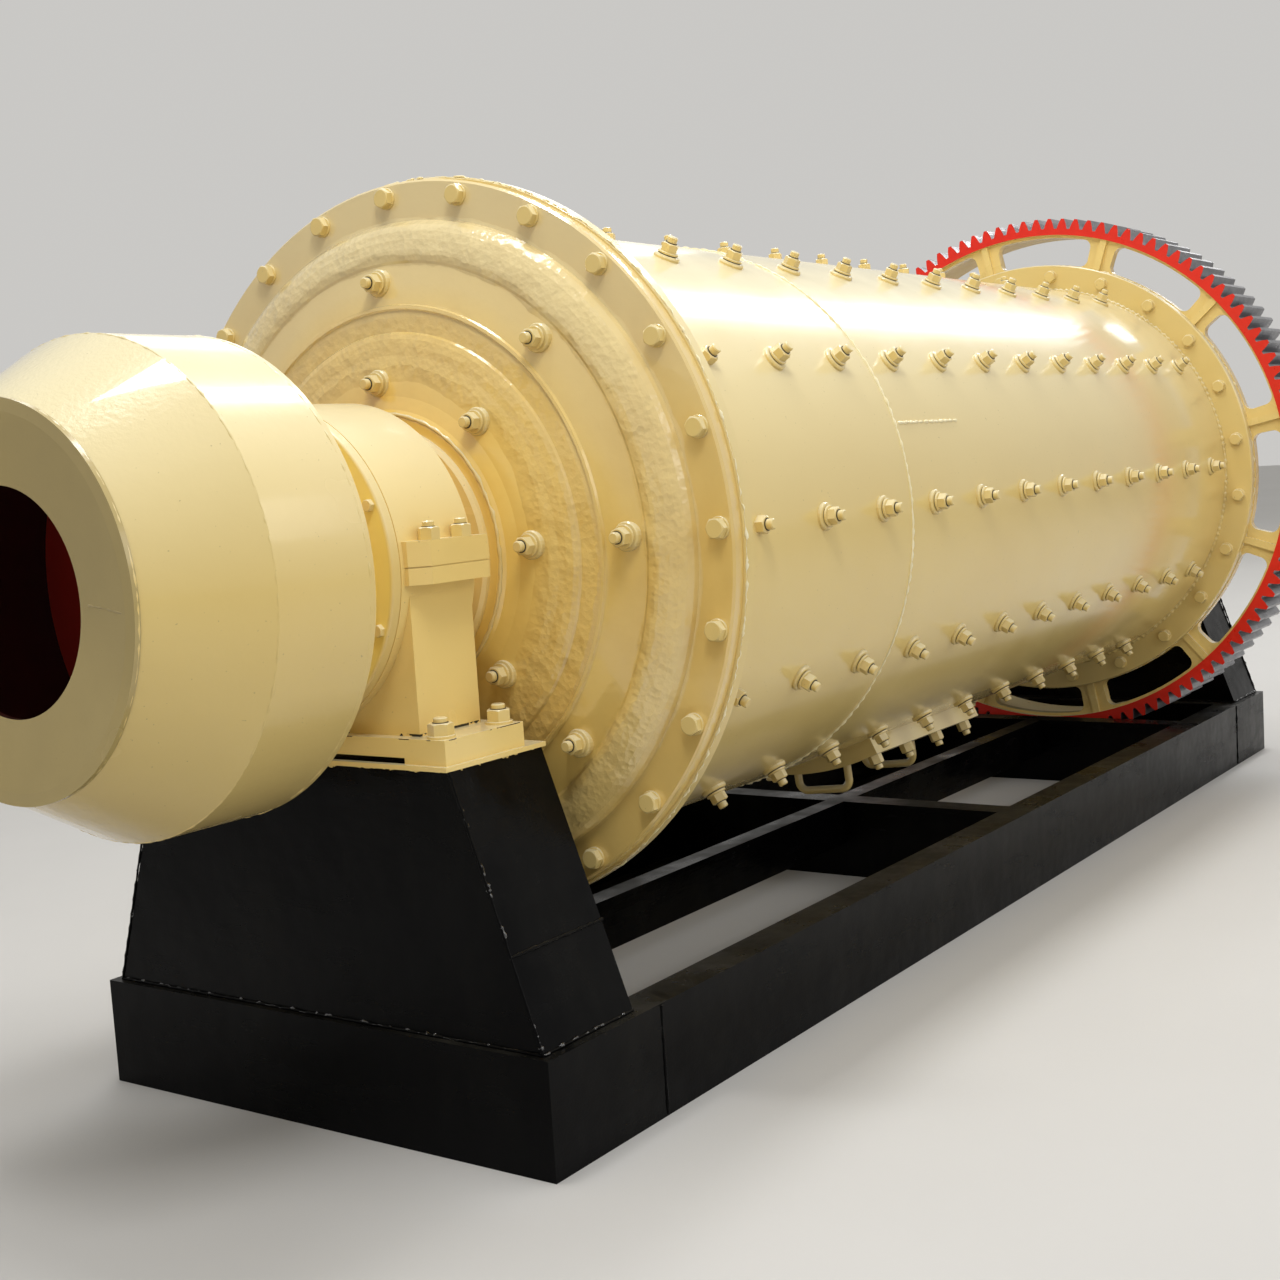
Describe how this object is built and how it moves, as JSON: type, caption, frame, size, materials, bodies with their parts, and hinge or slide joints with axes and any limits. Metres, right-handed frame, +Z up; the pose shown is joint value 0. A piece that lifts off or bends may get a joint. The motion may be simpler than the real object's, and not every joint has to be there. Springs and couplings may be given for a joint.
{
  "type": "ball mill",
  "caption": "Continuous ball mill: a bolted, lined steel drum with a spoked girth gear and a drum feeder, turning in two pedestal bearings on a welded skid.",
  "frame": {"origin": "on the floor, midway along the whole length, below the mill's axis", "axes": "+X along the mill from the feed end to the discharge end, +Y away from the side that the picture shows, +Z up"},
  "size_m": [4.701, 1.68, 1.8198],
  "materials": {
    "cream_enamel": "gloss",
    "ochre_casting": "gloss",
    "yellow_cover": "gloss",
    "red_primer": "matte",
    "red_gear": "satin",
    "black_enamel": "gloss",
    "liner_steel": "rough"
  },
  "bodies": {
    "base": {"feed_bearing_housing": "cream_enamel", "feed_bearing_cap": "cream_enamel", "feed_bearing_outer_cover": "yellow_cover", "feed_bearing_inner_cover": "yellow_cover", "discharge_bearing_housing": "cream_enamel", "discharge_bearing_cap": "cream_enamel", "discharge_bearing_outer_cover": "yellow_cover", "discharge_bearing_inner_cover": "yellow_cover", "feed_sole_plate": "cream_enamel", "discharge_sole_plate": "cream_enamel", "feed_pedestal": "black_enamel", "discharge_pedestal": "black_enamel", "skid_front_box": "black_enamel", "skid_rear_box": "black_enamel", "skid_beam_near": "black_enamel", "skid_beam_far": "black_enamel", "skid_cross_beam_mid": "black_enamel", "skid_cross_beam_rear": "black_enamel", "skid_centre_beam_front": "black_enamel", "skid_centre_beam_rear": "black_enamel"},
    "drum": {"shell": "cream_enamel", "feed_flange": "cream_enamel", "discharge_flange": "cream_enamel", "feed_head": "ochre_casting", "discharge_head": "ochre_casting", "shell_liner": "liner_steel", "feed_head_liner": "liner_steel", "discharge_head_liner": "liner_steel", "feed_trunnion": "ochre_casting", "discharge_trunnion": "ochre_casting", "discharge_spout": "cream_enamel", "gear_rim": "red_gear", "gear_arms": "cream_enamel", "feeder_face": "cream_enamel", "feeder_cone": "cream_enamel", "feeder_drum": "cream_enamel", "feeder_scoop": "red_primer", "feeder_back": "red_primer", "manhole_curb": "cream_enamel", "manhole_cover": "cream_enamel", "manhole_handle_front": "cream_enamel", "manhole_handle_rear": "cream_enamel"}
  },
  "joints": [
    {"name": "drum_spin", "type": "hinge", "parent": "base", "child": "drum", "pos_m": [0, 0, 0.98], "axis": [1, 0, 0], "continuous": true}
  ]
}
